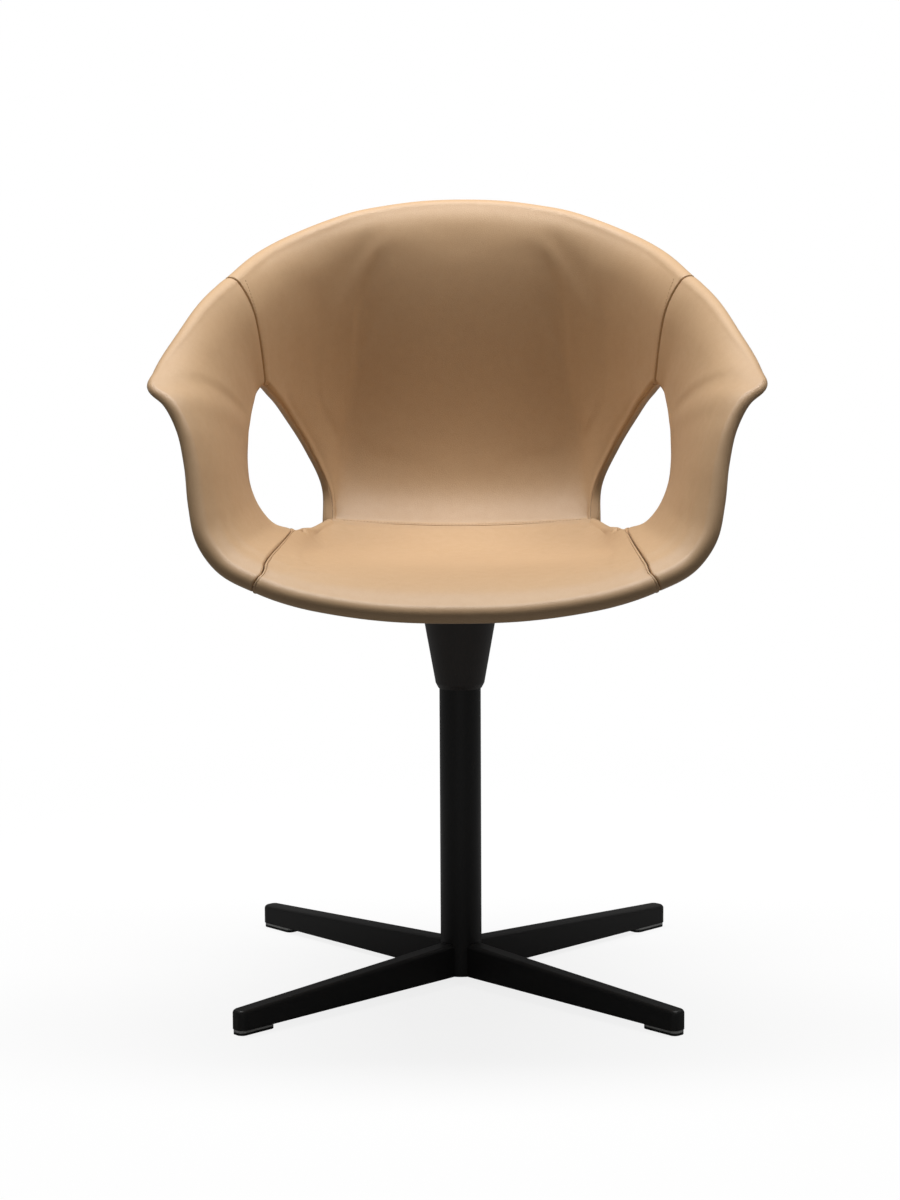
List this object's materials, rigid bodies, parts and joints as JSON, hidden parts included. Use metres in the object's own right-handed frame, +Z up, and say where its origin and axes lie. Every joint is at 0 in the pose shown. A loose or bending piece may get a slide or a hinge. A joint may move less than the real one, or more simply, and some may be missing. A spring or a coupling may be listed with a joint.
{
  "type": "pedestal swivel armchair",
  "caption": "Upholstered tub armchair with a teardrop opening under each arm, turning on a tapered hub and round column over a star foot.",
  "frame": {"origin": "on the floor under the swivel axis, which is also the middle of the plan", "axes": "+Z up along the swivel axis, +X to the viewer's right, the sitter faces -Y"},
  "size_m": [0.5984, 0.5549, 0.7965],
  "materials": {
    "tan_leather": "fine pebbled tan leather, soft sheen",
    "welt_leather": "tan leather edge binding",
    "shell_moulding": "moulded shell, unpainted",
    "spacer_plastic": "black moulded plastic",
    "housing_paint": "satin warm black powder coat",
    "frame_paint": "satin black powder coat",
    "bearing_plastic": "natural bearing plastic",
    "steel": "zinc plated steel",
    "glide_clear": "clear plastic glide carrier",
    "glide_dark": "dark glide pad",
    "cap_plastic": "black plastic cap"
  },
  "bodies": {
    "base": {"column_tube": "frame_paint", "column_plug": "steel", "column_foot_cap": "cap_plastic", "thrust_washer": "bearing_plastic", "bolt_washer": "bearing_plastic", "swivel_bolt": "steel", "foot_blade_rear_right": "frame_paint", "glide_carrier_rear_right": "glide_clear", "glide_pad_rear_right": "glide_dark", "foot_blade_rear_left": "frame_paint", "glide_carrier_rear_left": "glide_clear", "glide_pad_rear_left": "glide_dark", "foot_blade_front_left": "frame_paint", "glide_carrier_front_left": "glide_clear", "glide_pad_front_left": "glide_dark", "foot_blade_front_right": "frame_paint", "glide_carrier_front_right": "glide_clear", "glide_pad_front_right": "glide_dark"},
    "seat": {"seat_pad": "tan_leather", "back_pad": "tan_leather", "arm_pad_right": "tan_leather", "arm_pad_left": "tan_leather", "back_outer_cover": "tan_leather", "seat_under_cover": "tan_leather", "arm_outer_cover_right": "tan_leather", "arm_outer_cover_left": "tan_leather", "opening_welt_right": "welt_leather", "opening_welt_left": "welt_leather", "shell_core": "shell_moulding", "seat_spacer": "spacer_plastic", "seat_plate": "frame_paint", "swivel_housing": "housing_paint", "bush_lower": "bearing_plastic", "bush_upper": "bearing_plastic", "housing_screws": "steel", "plate_screws": "steel"}
  },
  "joints": [
    {"name": "seat_swivel", "type": "hinge", "parent": "base", "child": "seat", "pos_m": [0, 0, 0.38], "axis": [0, 0, 1], "continuous": true}
  ]
}
